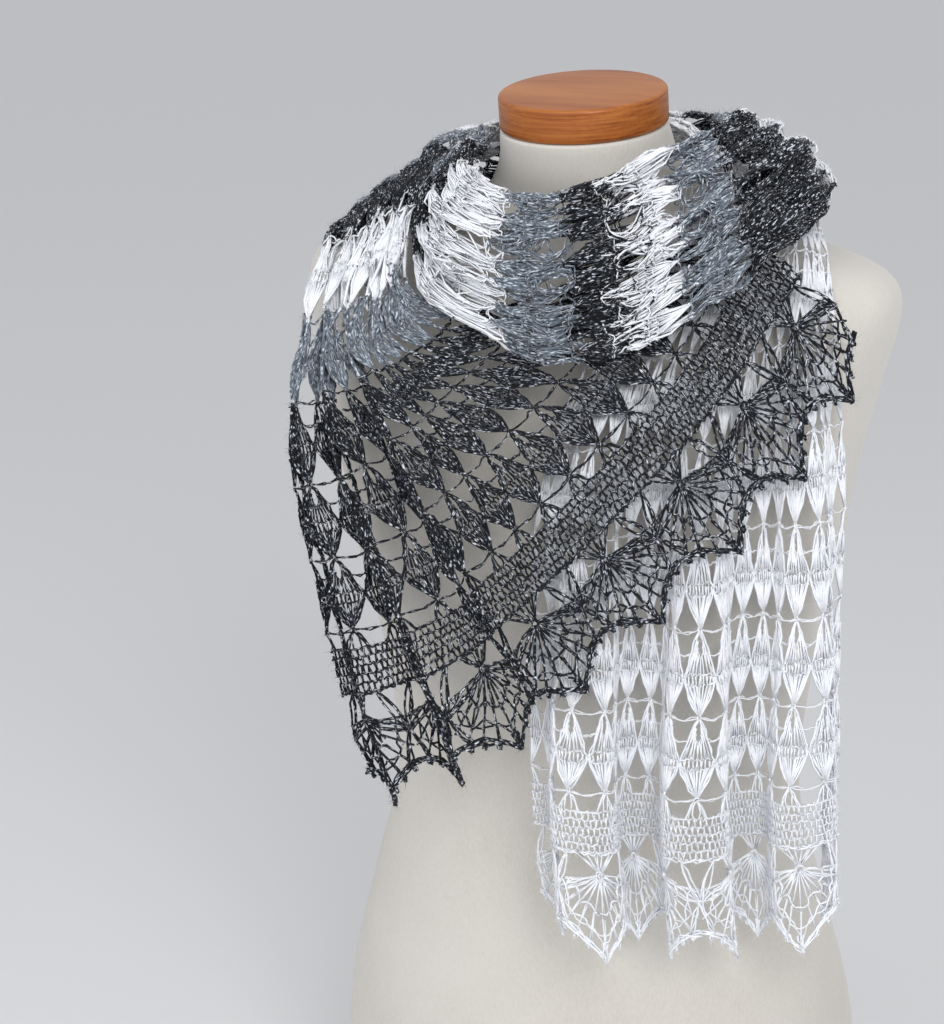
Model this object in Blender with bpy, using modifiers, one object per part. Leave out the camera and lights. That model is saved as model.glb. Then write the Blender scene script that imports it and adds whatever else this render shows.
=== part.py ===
"""A crocheted lace shawl wound round a limbless dress form.

Metres, +Z up, the form's chest faces -Y, and the origin is the centre of the form's flat base.
The cloth is laid out in the axes of a viewer who stands to the front left of the form: right, away and up.
"""

import math
from collections import namedtuple

import bmesh
import bpy
import numpy as np
from mathutils import Matrix

MM = 0.001

# The shawl as it is made, before it is wound on: 20 columns of lace, 29 mm each, and a scalloped edging of fans
# across each end
COLUMNS = 20
LACE_ROWS = 35
ROW_HEIGHT = 0.053
EDGING_DEPTH = 0.105
FANS = 8
WALL = 0.0015
SEAM = 0.0010

# The step, as a share of the width and of a row, over which directions on the cloth are measured
NEAR = 0.001

# A narrow strip of faces along each seam of the plain cloth keeps its two walls square to each other: lace rows
SEAM_STRIP = 0.1

# The lace motif of one column and one row, as shares of each: where the big gap starts and ends, and how wide a
# post is left beside its foot
GAP_TOP = 0.30
GAP_FOOT = 0.72
POST = 0.13

# How far the viewer's axes are turned from the form's
VIEW_TURN = math.radians(25)

# Dress form
CAP_RADIUS = 0.0525
CAP_THICKNESS = 0.021
CAP_CENTRE = (0.0, -0.037, 0.769)
CAP_TILT = math.radians(9)
CAP_EDGE = 0.0016
CAP_SIDES = 48
CAP_SEAT = 0.0003
FORM_SIDES = 32

# The neck ends just under the cap, on the same slope
NECK_HEIGHT = CAP_CENTRE[2] - (CAP_THICKNESS / 2 + CAP_SEAT) / math.cos(CAP_TILT)

# Rings of the torso, from the base up. Forward is how far the ring's middle lies towards the chest, and
# squareness runs from 2 for an ellipse towards a rectangle.
Ring = namedtuple("Ring", "height half_width half_depth forward squareness")
FORM_RINGS = [
    Ring(0.000, 0.172, 0.122, -0.010, 2.2),
    Ring(0.080, 0.180, 0.128, -0.010, 2.2),
    Ring(0.160, 0.176, 0.126, -0.008, 2.2),
    Ring(0.240, 0.157, 0.112, -0.004, 2.2),
    Ring(0.320, 0.138, 0.098, 0.000, 2.2),
    Ring(0.400, 0.144, 0.106, 0.004, 2.2),
    Ring(0.480, 0.160, 0.120, 0.010, 2.2),
    Ring(0.540, 0.170, 0.122, 0.012, 2.3),
    Ring(0.600, 0.184, 0.108, 0.012, 2.4),
    Ring(0.640, 0.195, 0.088, 0.013, 2.6),
    Ring(0.662, 0.196, 0.074, 0.013, 2.6),
    Ring(0.676, 0.184, 0.066, 0.013, 2.4),
    Ring(0.688, 0.150, 0.060, 0.013, 2.2),
    Ring(0.700, 0.106, 0.058, 0.013, 2.1),
    Ring(0.712, 0.074, 0.057, 0.016, 2.0),
    Ring(0.735, 0.057, 0.056, 0.026, 2.0),
    Ring(NECK_HEIGHT, 0.052, 0.052, 0.036, 2.0),
]

# Where the cloth lies: millimetres in the viewer's axes, so (right, away, up) from the centre of the base. Each
# entry is one line across the shawl, at a lace row counted from the white edging, with five places on it.
Line = namedtuple("Line", "lace_row neck_edge quarter middle three_quarters outer_edge")
EDGE_ROWS = EDGING_DEPTH / ROW_HEIGHT
DARK_TIPS = LACE_ROWS + EDGE_ROWS
PLACES = [
    # the white end, hanging down the front
    Line(-EDGE_ROWS, (-43, -160, 270), (8, -168, 265), (58, -172, 264), (106, -168, 269), (150, -154, 282)),
    Line(0.0, (-50, -162, 366), (0, -169, 363), (50, -173, 362), (100, -168, 365), (148, -153, 370)),
    Line(2.0, (-50, -164, 468), (0, -171, 465), (50, -174, 465), (100, -168, 468), (144, -150, 472)),
    Line(3.6, (-46, -162, 548), (2, -168, 550), (50, -171, 553), (97, -168, 558), (140, -154, 562)),
    Line(5.1, (-22, -143, 622), (18, -151, 628), (58, -154, 632), (96, -152, 635), (132, -142, 638)),
    Line(6.2, (26, -116, 676), (50, -120, 684), (76, -121, 688), (102, -119, 690), (128, -114, 690)),
    # over the shoulder and round the back of the neck
    Line(7.6, (50, -54, 737), (68, -56, 731), (86, -59, 724), (104, -62, 718), (122, -66, 712)),
    Line(8.9, (52, -2, 748), (67, 4, 739), (83, 8, 728), (101, 12, 717), (119, 16, 706)),
    Line(9.9, (34, 35, 754), (46, 44, 744), (56, 51, 728), (65, 59, 709), (74, 67, 689)),
    Line(11.1, (-8, 44, 757), (-8, 54, 745), (-8, 62, 726), (-8, 70, 702), (-8, 78, 678)),
    Line(12.2, (-48, 34, 756), (-58, 43, 746), (-68, 51, 732), (-78, 59, 715), (-87, 67, 696)),
    Line(13.0, (-69, 12, 750), (-80, 17, 743), (-90, 22, 733), (-100, 27, 721), (-110, 32, 710)),
    # across the front of the neck
    Line(13.8, (-76, -16, 742), (-88, -16, 736), (-99, -17, 726), (-108, -19, 714), (-115, -21, 703)),
    Line(15.5, (-80, -74, 732), (-95, -94, 720), (-104, -107, 701), (-104, -116, 682), (-98, -122, 663)),
    Line(16.5, (-52, -106, 722), (-56, -128, 709), (-57, -146, 687), (-55, -158, 662), (-50, -164, 638)),
    Line(17.5, (-9, -108, 730), (-7, -130, 718), (-5, -150, 696), (-4, -165, 668), (-2, -173, 642)),
    Line(18.5, (30, -94, 746), (33, -118, 736), (36, -140, 715), (38, -165, 688), (38, -179, 662)),
    Line(19.5, (60, -66, 754), (68, -90, 749), (74, -116, 735), (79, -148, 714), (82, -168, 690)),
    Line(20.5, (76, -26, 756), (92, -44, 754), (108, -64, 748), (119, -86, 734), (125, -106, 715)),
    # round the back of the neck again, outside the first turn
    Line(21.8, (78, 26, 752), (94, 18, 749), (108, 10, 742), (119, 2, 731), (127, -8, 717)),
    Line(23.2, (65, 58, 752), (77, 67, 742), (89, 74, 724), (99, 79, 701), (108, 83, 678)),
    Line(24.4, (32, 74, 752), (39, 86, 740), (46, 96, 718), (52, 104, 688), (58, 110, 659)),
    Line(25.6, (-10, 78, 750), (-13, 90, 738), (-16, 100, 714), (-19, 109, 681), (-22, 115, 649)),
    Line(26.8, (-56, 71, 746), (-68, 82, 732), (-80, 93, 709), (-91, 103, 683), (-100, 111, 656)),
    Line(27.9, (-89, 48, 742), (-105, 58, 728), (-120, 68, 713), (-135, 78, 698), (-150, 88, 685)),
    # over the other shoulder and spread down the front to the dark edging
    Line(29.0, (-104, 6, 732), (-120, 12, 721), (-137, 20, 709), (-153, 28, 695), (-168, 35, 681)),
    Line(30.0, (-122, -46, 702), (-132, -44, 695), (-147, -37, 686), (-164, -25, 676), (-180, -10, 666)),
    Line(31.0, (-122, -90, 666), (-132, -92, 650), (-146, -82, 640), (-168, -62, 629), (-191, -34, 618)),
    Line(32.0, (-76, -122, 658), (-102, -126, 636), (-130, -116, 615), (-164, -84, 588), (-200, -46, 566)),
    Line(33.0, (-14, -126, 680), (-60, -144, 638), (-108, -136, 588), (-150, -98, 542), (-195, -56, 519)),
    Line(34.0, (44, -123, 706), (-8, -158, 636), (-80, -156, 558), (-133, -118, 502), (-184, -66, 474)),
    Line(35.0, (86, -137, 697), (30, -175, 620), (-52, -174, 528), (-116, -138, 463), (-174, -80, 430)),
    Line(36.0, (124, -151, 670), (62, -186, 585), (-22, -190, 497), (-96, -150, 419), (-160, -95, 382)),
    Line(DARK_TIPS, (152, -154, 632), (94, -190, 550), (7, -198, 467), (-78, -156, 374), (-143, -108, 336)),
]

# Folds that run along the cloth. Each family has its number of folds across the width, where its first crest
# lies, how far the folds crowd together, how far their sides hang over and bulge, and their depths, as pairs of a
# lace row and millimetres.
Folds = namedtuple("Folds", "count first_crest crowding overhang bulge depths")
HANGING_END = Folds(3, 1 / 6, 0.45, 0.28, 0.40, [
    (-2, 19), (0, 18), (1.5, 14), (3, 9), (5, 5), (6.6, 2), (7.4, 0),
])
NECK_WRAPS = Folds(4, 1 / 8, 0.30, 0.12, 0.20, [
    (7, 0), (7.6, 2), (8.9, 4), (13, 4), (13.8, 5), (15.5, 8),
    (20.5, 8), (21.8, 6), (27.9, 6), (29, 4), (31, 0),
])
SPREAD_END = Folds(6, 1 / 12, 0.30, 0.12, 0.20, [
    (29, 0), (30, 4), (31, 8), (32, 10), (35, 12), (37, 12),
])

# The spread end is folded only from the first of these shares of its width to the outer edge, and fully so from
# the second
SPREAD_FOLDS_FROM = (0.50, 0.72)

# The folds flatten towards the cloth's own edges, over this share of its width
CALM_EDGE = 0.10


def hermite(knots, values, at):
    """Smooth curve through values at knots, read at the places in at."""
    knots = np.asarray(knots, float)
    values = np.asarray(values, float)
    at = np.asarray(at, float)
    slopes = np.empty_like(values)
    shape = (-1,) + (1,) * (values.ndim - 1)
    slopes[1:-1] = (values[2:] - values[:-2]) / (knots[2:] - knots[:-2]).reshape(shape)
    slopes[0] = (values[1] - values[0]) / (knots[1] - knots[0])
    slopes[-1] = (values[-1] - values[-2]) / (knots[-1] - knots[-2])
    i = np.clip(np.searchsorted(knots, at, side="right") - 1, 0, len(knots) - 2)
    width = (knots[i + 1] - knots[i]).reshape(shape)
    t = (at - knots[i]).reshape(shape) / width
    return (
        values[i] * (2 * t**3 - 3 * t**2 + 1)
        + slopes[i] * width * (t**3 - 2 * t**2 + t)
        + values[i + 1] * (3 * t**2 - 2 * t**3)
        + slopes[i + 1] * width * (t**3 - t**2)
    )


PLACE_ROWS = np.array([row[0] for row in PLACES])
PLACE_POINTS = np.array([row[1:] for row in PLACES]) * MM
ACROSS = np.linspace(0.0, 1.0, 5)


def smooth_cloth(across, row):
    """The cloth without its folds, in the viewer's axes."""
    lines = hermite(PLACE_ROWS, PLACE_POINTS, row)
    shares = hermite(ACROSS, np.eye(5), across)
    return np.einsum("nj,njc->nc", shares, lines)


def unit(vectors):
    return vectors / np.linalg.norm(vectors, axis=1, keepdims=True)


def across_and_out(across, row):
    """Unit vectors across the plain cloth and out of its face."""
    over = unit(smooth_cloth(across + NEAR, row) - smooth_cloth(across - NEAR, row))
    along = unit(smooth_cloth(across, row + NEAR) - smooth_cloth(across, row - NEAR))
    return over, unit(np.cross(over, along))


def ramp(x, low, high):
    """0 below low and 1 above high, with a smooth rise between."""
    t = np.clip((x - low) / (high - low), 0, 1)
    return t * t * (3 - 2 * t)


def fold_steps(family, across, row):
    """How far one family of folds lifts the cloth off its plain surface, and how far it shifts it sideways."""
    marks, depths = zip(*family.depths)
    depth = np.interp(row, marks, depths) * MM
    if family is SPREAD_END:
        depth = depth * ramp(across, *SPREAD_FOLDS_FROM)
    if family is not HANGING_END:
        depth = depth * ramp(across, 0, CALM_EDGE) * ramp(1 - across, 0, CALM_EDGE)
    turn = 2 * np.pi * family.count * (across - family.first_crest)
    turn = turn + family.crowding * np.sin(turn)
    return depth * np.cos(turn), depth * (family.overhang * np.sin(2 * turn) + family.bulge * np.sin(turn))


def folded_cloth(across, row):
    """The cloth with its folds, in the viewer's axes."""
    across = np.asarray(across, float)
    row = np.asarray(row, float)
    over, out = across_and_out(across, row)
    points = smooth_cloth(across, row)
    for family in (HANGING_END, NECK_WRAPS, SPREAD_END):
        lift, shift = fold_steps(family, across, row)
        points = points + out * lift[:, None] + over * shift[:, None]
    return points


TO_FORM = np.array(Matrix.Rotation(VIEW_TURN, 3, "Z"))


def in_form_axes(points):
    """Points in the viewer's axes, turned into the form's."""
    return points @ TO_FORM.T


def clear_scene():
    for found in list(bpy.data.objects):
        bpy.data.objects.remove(found, do_unlink=True)


def material(name, colour, roughness):
    made = bpy.data.materials.new(name)
    made.use_nodes = True
    shader = made.node_tree.nodes["Principled BSDF"]
    shader.inputs["Base Color"].default_value = (*colour, 1.0)
    shader.inputs["Roughness"].default_value = roughness
    shader.inputs["Metallic"].default_value = 0.0
    return made


def add_object(name, mesh, look):
    made = bpy.data.objects.new(name, mesh)
    mesh.materials.append(look)
    COLLECTION.objects.link(made)
    return made


def cloth_node(name, faces, first, last, look):
    """One stretch of cloth, from faces whose corners are (share of the width, lace row)."""
    corners = sorted({corner for face in faces for corner in face})
    index = {corner: i for i, corner in enumerate(corners)}
    across, row = np.array(corners).T
    along = folded_cloth(across, row + NEAR) - folded_cloth(across, row - NEAR)
    row_height = np.linalg.norm(along, axis=1) / (2 * NEAR)
    half_gap = SEAM / 2 / row_height
    row = np.where(row == first, row + half_gap, np.where(row == last, row - half_gap, row))
    points = in_form_axes(folded_cloth(across, row))
    shape = bmesh.new()
    places = [shape.verts.new(point) for point in points]
    for face in faces:
        shape.faces.new([places[index[corner]] for corner in face])
    bmesh.ops.triangulate(shape, faces=shape.faces)
    mesh = bpy.data.meshes.new(name)
    shape.to_mesh(mesh)
    shape.free()
    mesh.shade_smooth()
    made = add_object(name, mesh, look)
    wall = made.modifiers.new("wall", "SOLIDIFY")
    wall.thickness = WALL
    wall.offset = 0
    return made


def grid(first, last, row_step, columns):
    """Plain cloth: a grid of faces between two lace rows."""
    count = round((last - first) / row_step)
    inside = [round(first + (last - first) * i / count, 6) for i in range(1, count)]
    lines = [first, round(first + SEAM_STRIP, 6), *inside, round(last - SEAM_STRIP, 6), last]
    sides = [round(j / columns, 6) for j in range(columns + 1)]
    return [
        [(u0, v0), (u1, v0), (u1, v1), (u0, v1)]
        for v0, v1 in zip(lines, lines[1:])
        for u0, u1 in zip(sides, sides[1:])
    ]


def mapped(faces, centre, pitch, start, height, toward):
    """Faces of one motif, put in place. The motif runs across from -0.5 to 0.5 and down from 0 to 1."""
    placed = []
    for face in faces:
        corners = [(round(centre + s * pitch, 6), round(start + toward * t * height, 6)) for s, t in face]
        placed.append(corners if toward > 0 else corners[::-1])
    return placed


def mirrored(half):
    return half + [[(-s, t) for s, t in reversed(face)] for face in half]


def lace_motif():
    """One column and row of lace, round the big three-sided gap between two hearts."""
    side = 0.5 - POST
    return mirrored([
        [(-0.5, 0), (0, 0), (0, GAP_TOP), (-0.5, GAP_TOP)],
        [(-0.5, GAP_TOP), (0, GAP_TOP), (-side, GAP_FOOT), (-0.5, GAP_FOOT)],
        [(-0.5, GAP_FOOT), (-side, GAP_FOOT), (0, 1), (-0.5, 1)],
    ]) + [[(-side, GAP_FOOT), (side, GAP_FOOT), (0, 1)]]


def lace(first, last, toward):
    """Rows of lace with their big gaps cut through. The motif's foot points towards the nearer end."""
    faces = []
    for row in range(first, last):
        start = row if toward > 0 else row + 1
        for column in range(COLUMNS):
            faces += mapped(lace_motif(), (column + 0.5) / COLUMNS, 1 / COLUMNS, start, 1, toward)
    return faces


# The edging between the middles of two fans: a mesh band, then a slot and a kite between the fans, and a hollow
# edge that comes to a point at each fan's middle. Across from -0.5 to 0.5, down from 0 to 1.
BAND_FOOT = 0.32
SLOT = ((0, 0.32), (-0.11, 0.41), (0, 0.50))
KITE = ((0, 0.60), (-0.14, 0.73), (0, 0.82))
FAN_HUB = 0.60
EDGE = ((0, 0.88), (-0.25, 0.90), (-0.42, 0.93), (-0.5, 1.0))


def edging_motif(cut):
    """One half of the edging motif, left of the line between two fans."""
    low, inner, shoulder, tip = EDGE
    faces = [
        [(-0.5, 0), (-0.25, 0), (-0.25, BAND_FOOT), (-0.5, BAND_FOOT)],
        [(-0.25, 0), (0, 0), (0, BAND_FOOT), (-0.25, BAND_FOOT)],
        [(-0.5, BAND_FOOT), (-0.25, BAND_FOOT), (-0.25, FAN_HUB), (-0.5, FAN_HUB)],
        [(-0.5, FAN_HUB), (-0.25, FAN_HUB), inner, shoulder],
        [(-0.5, FAN_HUB), shoulder, tip],
    ]
    if not cut:
        return faces + [
            [(-0.25, BAND_FOOT), (0, BAND_FOOT), (0, FAN_HUB), (-0.25, FAN_HUB)],
            [(-0.25, FAN_HUB), (0, FAN_HUB), low, inner],
        ]
    return faces + [
        [(-0.25, BAND_FOOT), SLOT[0], SLOT[1]],
        [(-0.25, BAND_FOOT), SLOT[1], (-0.25, FAN_HUB)],
        [SLOT[1], SLOT[2], KITE[0], (-0.25, FAN_HUB)],
        [(-0.25, FAN_HUB), KITE[0], KITE[1]],
        [(-0.25, FAN_HUB), KITE[1], inner],
        [KITE[1], KITE[2], low, inner],
    ]


def edging(start, toward):
    """The fans along one end of the shawl."""
    faces = []
    for fan in range(FANS + 1):
        inside = 0 < fan < FANS
        half = edging_motif(inside)
        other = [[(-s, t) for s, t in reversed(face)] for face in half]
        kept = (half if fan > 0 else []) + (other if fan < FANS else [])
        faces += mapped(kept, fan / FANS, 1 / FANS, start, EDGE_ROWS, toward)
    return faces


def ring(height, half_width, half_depth, forward, squareness, slope=0.0):
    """Corners of one level ring of the form, or of one that slopes down towards the front."""
    corners = []
    for i in range(FORM_SIDES):
        angle = 2 * math.pi * i / FORM_SIDES
        x = half_width * math.copysign(abs(math.cos(angle)) ** (2 / squareness), math.cos(angle))
        y = half_depth * math.copysign(abs(math.sin(angle)) ** (2 / squareness), math.sin(angle))
        corners.append((x, y - forward, height + slope * y))
    return corners


def add_form(look):
    """The torso, lofted through its rings, with a flat base and a flat sloping neck."""
    levels = [ring(*row) for row in FORM_RINGS[:-1]]
    levels.append(ring(*FORM_RINGS[-1], slope=math.tan(CAP_TILT)))
    shape = bmesh.new()
    rings = [[shape.verts.new(corner) for corner in level] for level in levels]
    for below, above in zip(rings, rings[1:]):
        for i in range(FORM_SIDES):
            j = (i + 1) % FORM_SIDES
            shape.faces.new((below[i], below[j], above[j], above[i]))
    shape.faces.new(reversed(rings[0]))
    shape.faces.new(rings[-1])
    mesh = bpy.data.meshes.new("form_torso")
    shape.to_mesh(mesh)
    shape.free()
    mesh.shade_smooth()
    mesh.set_sharp_from_angle(angle=math.radians(50))
    return add_object("form_torso", mesh, look)


def add_cap(look):
    """The turned wooden disc that closes the neck."""
    shape = bmesh.new()
    bmesh.ops.create_cone(
        shape, cap_ends=True, segments=CAP_SIDES, radius1=CAP_RADIUS, radius2=CAP_RADIUS, depth=CAP_THICKNESS
    )
    mesh = bpy.data.meshes.new("form_neck_cap")
    shape.to_mesh(mesh)
    shape.free()
    made = add_object("form_neck_cap", mesh, look)
    made.location = CAP_CENTRE
    made.rotation_euler = (CAP_TILT, 0, 0)
    rounded = made.modifiers.new("rounded edge", "BEVEL")
    rounded.width = CAP_EDGE
    rounded.segments = 2
    rounded.limit_method = "ANGLE"
    return made


clear_scene()
COLLECTION = bpy.data.collections.new("rectangular_shawl")
bpy.context.scene.collection.children.link(COLLECTION)

JERSEY = material("form_jersey", (0.66, 0.62, 0.56), 0.9)
WOOD = material("cap_wood", (0.48, 0.20, 0.07), 0.35)
WHITE = material("white_lace", (0.83, 0.85, 0.90), 0.9)
MIXED = material("striped_lace", (0.28, 0.31, 0.36), 0.9)
DARK = material("dark_lace", (0.03, 0.035, 0.05), 0.85)

add_form(JERSEY)
add_cap(WOOD)

WHITE_END = 7
FIRST_TURN = 13.5
FRONT_BAND = 20.5
SECOND_TURN = 30
WRAP_COLUMNS = 24
WRAP_STEP = 0.5

cloth_node("white_edging", edging(0, -1), -EDGE_ROWS, 0, WHITE)
cloth_node("white_end", lace(0, WHITE_END, -1), 0, WHITE_END, WHITE)
cloth_node("inner_wrap", grid(WHITE_END, FIRST_TURN, WRAP_STEP, WRAP_COLUMNS), WHITE_END, FIRST_TURN, MIXED)
cloth_node("front_band", grid(FIRST_TURN, FRONT_BAND, WRAP_STEP, WRAP_COLUMNS), FIRST_TURN, FRONT_BAND, MIXED)
cloth_node("outer_wrap", grid(FRONT_BAND, SECOND_TURN, WRAP_STEP, WRAP_COLUMNS), FRONT_BAND, SECOND_TURN, MIXED)
cloth_node("dark_panel", lace(SECOND_TURN, LACE_ROWS, 1), SECOND_TURN, LACE_ROWS, DARK)
cloth_node("dark_edging", edging(LACE_ROWS, 1), LACE_ROWS, DARK_TIPS, DARK)
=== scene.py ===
"""Looks of a crocheted lace shawl wound round a limbless dress form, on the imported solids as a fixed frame."""

import math
from collections import namedtuple

import bmesh
import bpy
import numpy as np
from mathutils import Matrix, Vector


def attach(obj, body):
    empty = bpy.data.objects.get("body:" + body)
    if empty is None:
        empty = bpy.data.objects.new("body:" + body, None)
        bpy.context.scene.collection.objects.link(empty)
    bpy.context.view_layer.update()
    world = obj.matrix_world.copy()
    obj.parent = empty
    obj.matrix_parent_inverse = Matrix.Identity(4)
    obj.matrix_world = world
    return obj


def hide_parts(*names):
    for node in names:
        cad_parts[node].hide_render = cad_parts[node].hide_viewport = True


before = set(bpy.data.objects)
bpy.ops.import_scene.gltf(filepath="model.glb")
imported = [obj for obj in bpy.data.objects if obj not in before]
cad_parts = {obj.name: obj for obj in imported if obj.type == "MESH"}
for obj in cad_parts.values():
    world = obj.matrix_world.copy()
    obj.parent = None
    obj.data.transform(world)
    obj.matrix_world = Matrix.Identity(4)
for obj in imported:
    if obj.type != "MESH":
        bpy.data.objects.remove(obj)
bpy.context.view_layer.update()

# Studio
# A wide pale floor. The camera stands to the front left of the form, a little above its neck, and looks down on it,
# so that the floor fills the frame. A large soft light comes from the upper right, and a weaker one fills in from the left.
VIEW_TURN = math.radians(25)
CAMERA_PLACE = (-0.0845, -1.600, 0.931)
CAMERA_TILT = math.radians(15.06)
PHOTO_HEIGHT = 1024
FOCAL_LENGTH_PIXELS = 2518
SENSOR = 36.0
TO_FORM = Matrix.Rotation(VIEW_TURN, 3, "Z")


class Signal:
    """A shader socket that takes part in ordinary arithmetic."""

    def __init__(self, finish, socket):
        self.finish = finish
        self.socket = socket

    def work(self, operation, *values):
        node = self.finish.add("ShaderNodeMath", {"operation": operation}, dict(enumerate(values)))
        return node.out("Value")

    def __add__(self, other):
        return self.work("ADD", self, other)

    def __radd__(self, other):
        return self.work("ADD", other, self)

    def __sub__(self, other):
        return self.work("SUBTRACT", self, other)

    def __rsub__(self, other):
        return self.work("SUBTRACT", other, self)

    def __mul__(self, other):
        return self.work("MULTIPLY", self, other)

    def __rmul__(self, other):
        return self.work("MULTIPLY", other, self)

    def __pow__(self, other):
        return self.work("POWER", self, other)


class Added:
    """A node that was added to a finish, asked for its outputs by name."""

    def __init__(self, finish, node):
        self.finish = finish
        self.node = node

    def out(self, name):
        return Signal(self.finish, self.node.outputs[name])


class Finish:
    """A material and its node tree."""

    def __init__(self, name, **constants):
        self.material = bpy.data.materials.new(name)
        self.material.use_nodes = True
        self.tree = self.material.node_tree
        self.shader = self.tree.nodes["Principled BSDF"]
        for socket, value in constants.items():
            self.shader.inputs[socket.replace("_", " ")].default_value = value

    def add(self, kind, settings=None, values=None):
        node = self.tree.nodes.new(kind)
        for name, value in (settings or {}).items():
            if name == "stops":
                while len(node.color_ramp.elements) < len(value):
                    node.color_ramp.elements.new(0.5)
                for stop, (place, colour) in zip(node.color_ramp.elements, value):
                    stop.position = place
                    stop.color = (*colour, 1.0)
            else:
                setattr(node, name, value)
        for name, value in (values or {}).items():
            self.feed(node.inputs[name], value)
        return Added(self, node)

    def feed(self, socket, value):
        if isinstance(value, Signal):
            self.tree.links.new(value.socket, socket)
        else:
            socket.default_value = value

    def set(self, name, value):
        self.feed(self.shader.inputs[name], value)

    def bump(self, height, strength, distance):
        made = self.add("ShaderNodeBump", {}, {"Height": height, "Strength": strength, "Distance": distance})
        self.set("Normal", made.out("Normal"))

    def ramp(self, signal, stops):
        return self.add("ShaderNodeValToRGB", {"stops": stops}, {"Fac": signal}).out("Color")

    def stretched(self, vector, scale, turn=(0.0, 0.0, 0.0)):
        return self.add("ShaderNodeMapping", {}, {"Vector": vector, "Scale": scale, "Rotation": turn}).out("Vector")

    def noise(self, vector, scale, detail=2.0):
        return self.add("ShaderNodeTexNoise", {}, {"Vector": vector, "Scale": scale, "Detail": detail}).out("Fac")

    def place(self):
        return self.add("ShaderNodeTexCoord").out("Object")


floor_shape = bmesh.new()
bmesh.ops.create_grid(floor_shape, x_segments=1, y_segments=1, size=25.0)
floor_mesh = bpy.data.meshes.new("studio_floor")
floor_shape.to_mesh(floor_mesh)
floor_shape.free()
floor = bpy.data.objects.new("studio_floor", floor_mesh)
bpy.context.scene.collection.objects.link(floor)
paper = Finish("pale_paper", Base_Color=(0.75, 0.753, 0.765, 1), Roughness=0.9)
floor_mesh.materials.append(paper.material)

camera = bpy.data.objects.new("camera", bpy.data.cameras.new("camera"))
bpy.context.scene.collection.objects.link(camera)
camera.location = TO_FORM @ Vector(CAMERA_PLACE)
camera.rotation_euler = (math.radians(90) - CAMERA_TILT, 0, VIEW_TURN)
camera.data.sensor_fit = "VERTICAL"
camera.data.sensor_height = SENSOR
camera.data.lens = FOCAL_LENGTH_PIXELS / PHOTO_HEIGHT * SENSOR
bpy.context.scene.camera = camera

# Each light: name, place in the viewer's axes, the point it looks at, width, watts
LIGHTS = [
    ("key", (0.4, -2.4, 1.8), (0.0, 0.0, 0.55), 1.0, 32),
    ("fill", (-1.8, -1.7, 1.2), (0.0, 0.0, 0.5), 1.8, 10),
    ("top", (-0.2, -1.3, 2.4), (0.0, 0.0, 0.6), 1.4, 5),
]
for name, place, aim, width, watts in LIGHTS:
    lamp = bpy.data.objects.new(name, bpy.data.lights.new(name, "AREA"))
    bpy.context.scene.collection.objects.link(lamp)
    lamp.data.shape = "DISK"
    lamp.data.size = width
    lamp.data.energy = watts
    lamp.location = TO_FORM @ Vector(place)
    aimed = (TO_FORM @ Vector(aim)) - lamp.location
    lamp.rotation_euler = aimed.to_track_quat("-Z", "Y").to_euler()
world = bpy.data.worlds.new("studio")
world.use_nodes = True
world.node_tree.nodes["Background"].inputs["Color"].default_value = (0.97, 0.98, 1.0, 1)
world.node_tree.nodes["Background"].inputs["Strength"].default_value = 0.68
bpy.context.scene.world = world
bpy.context.scene.view_settings.view_transform = "Standard"

# Dress form
# A hard foam bust form without limbs, in a tight cover of fine cream jersey that is drawn over the neck's top and
# under the flat base. The rings are the solid's own, drawn through smoothly.
Ring = namedtuple("Ring", "height half_width half_depth forward squareness")
CAP_RADIUS = 0.0525
CAP_THICKNESS = 0.021
CAP_CENTRE = (0.0, -0.037, 0.769)
CAP_TILT = math.radians(9)
NECK_HEIGHT = CAP_CENTRE[2] - (CAP_THICKNESS / 2 + 0.0003) / math.cos(CAP_TILT)
FORM_RINGS = [
    Ring(0.000, 0.172, 0.122, -0.010, 2.2),
    Ring(0.080, 0.180, 0.128, -0.010, 2.2),
    Ring(0.160, 0.176, 0.126, -0.008, 2.2),
    Ring(0.240, 0.157, 0.112, -0.004, 2.2),
    Ring(0.320, 0.138, 0.098, 0.000, 2.2),
    Ring(0.400, 0.144, 0.106, 0.004, 2.2),
    Ring(0.480, 0.160, 0.120, 0.010, 2.2),
    Ring(0.540, 0.170, 0.122, 0.012, 2.3),
    Ring(0.600, 0.184, 0.108, 0.012, 2.4),
    Ring(0.640, 0.195, 0.088, 0.013, 2.6),
    Ring(0.662, 0.196, 0.074, 0.013, 2.6),
    Ring(0.676, 0.184, 0.066, 0.013, 2.4),
    Ring(0.688, 0.150, 0.060, 0.013, 2.2),
    Ring(0.700, 0.106, 0.058, 0.013, 2.1),
    Ring(0.712, 0.074, 0.057, 0.016, 2.0),
    Ring(0.735, 0.057, 0.056, 0.026, 2.0),
    Ring(NECK_HEIGHT, 0.052, 0.052, 0.036, 2.0),
]
TORSO_SIDES = 128
TORSO_LEVELS = 110
BASE_ROUND = 0.004
JERSEY_TUCK = 0.0006


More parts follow.
